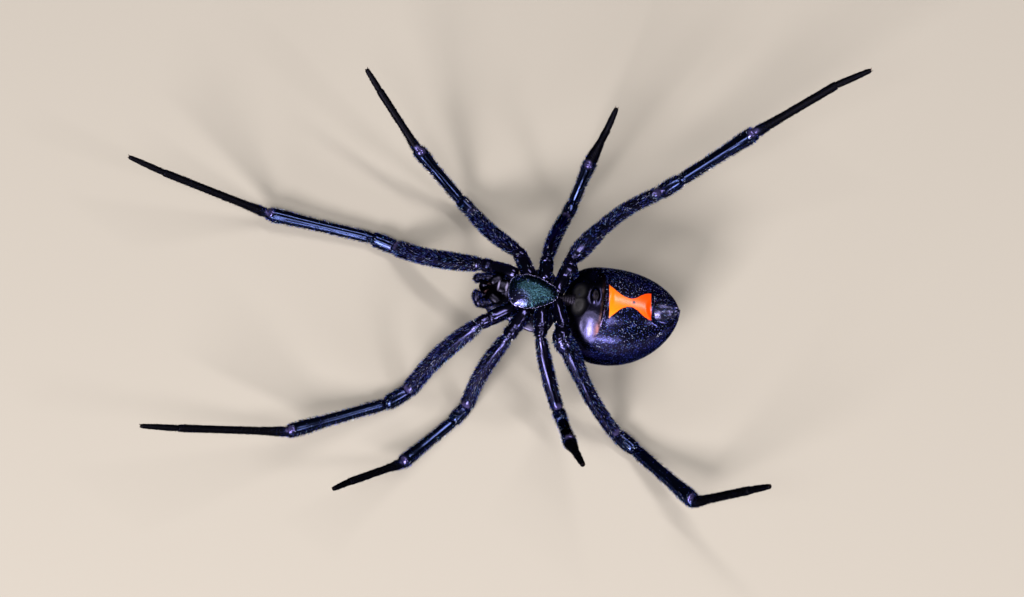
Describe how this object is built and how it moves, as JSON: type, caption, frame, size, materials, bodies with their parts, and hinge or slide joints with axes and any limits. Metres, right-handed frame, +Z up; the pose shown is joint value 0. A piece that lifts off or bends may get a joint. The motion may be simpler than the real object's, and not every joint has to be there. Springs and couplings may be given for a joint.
{
  "type": "black widow spider model",
  "caption": "Life-size still model of a black widow spider lying on its back, legs spread and tips raised, with a red hourglass on the belly.",
  "frame": {"origin": "centre of the small flat on the back of the abdomen, on the floor", "axes": "+Z up, out of the spider's underside; -X towards its head; +Y towards its left side"},
  "size_m": [0.0387, 0.0257, 0.0079],
  "materials": {
    "abdomen_shell": "glossy black cuticle with a red hourglass on the belly",
    "breast_shell": "glossy black cuticle, finely grained",
    "leg_shell": "satin black cuticle with short dark bristles",
    "foot_shell": "matte brown-black cuticle with fine dark bristles",
    "jaw_shell": "glossy brown-black cuticle",
    "spinneret_shell": "matte dark brown cuticle"
  },
  "bodies": {
    "root": {"abdomen": "abdomen_shell", "cephalothorax": "breast_shell", "pedicel": "breast_shell", "spinnerets": "spinneret_shell", "chelicera_left": "jaw_shell", "chelicera_right": "jaw_shell", "palp_left": "jaw_shell", "palp_right": "jaw_shell", "leg_1_left_coxa": "leg_shell", "leg_1_left_femur": "leg_shell", "leg_1_left_patella": "leg_shell", "leg_1_left_tibia": "leg_shell", "leg_1_left_metatarsus": "foot_shell", "leg_1_left_tarsus": "foot_shell", "leg_1_right_coxa": "leg_shell", "leg_1_right_femur": "leg_shell", "leg_1_right_patella": "leg_shell", "leg_1_right_tibia": "leg_shell", "leg_1_right_metatarsus": "foot_shell", "leg_1_right_tarsus": "foot_shell", "leg_2_left_coxa": "leg_shell", "leg_2_left_femur": "leg_shell", "leg_2_left_patella": "leg_shell", "leg_2_left_tibia": "leg_shell", "leg_2_left_metatarsus": "foot_shell", "leg_2_left_tarsus": "foot_shell", "leg_2_right_coxa": "leg_shell", "leg_2_right_femur": "leg_shell", "leg_2_right_patella": "leg_shell", "leg_2_right_tibia": "leg_shell", "leg_2_right_metatarsus": "foot_shell", "leg_2_right_tarsus": "foot_shell", "leg_3_left_coxa": "leg_shell", "leg_3_left_femur": "leg_shell", "leg_3_left_patella": "leg_shell", "leg_3_left_tibia": "leg_shell", "leg_3_left_metatarsus": "foot_shell", "leg_3_left_tarsus": "foot_shell", "leg_3_right_coxa": "leg_shell", "leg_3_right_femur": "leg_shell", "leg_3_right_patella": "leg_shell", "leg_3_right_tibia": "leg_shell", "leg_3_right_metatarsus": "foot_shell", "leg_3_right_tarsus": "foot_shell", "leg_4_left_coxa": "leg_shell", "leg_4_left_femur": "leg_shell", "leg_4_left_patella": "leg_shell", "leg_4_left_tibia": "leg_shell", "leg_4_left_metatarsus": "foot_shell", "leg_4_left_tarsus": "foot_shell", "leg_4_right_coxa": "leg_shell", "leg_4_right_femur": "leg_shell", "leg_4_right_patella": "leg_shell", "leg_4_right_tibia": "leg_shell", "leg_4_right_metatarsus": "foot_shell", "leg_4_right_tarsus": "foot_shell"}
  },
  "joints": []
}
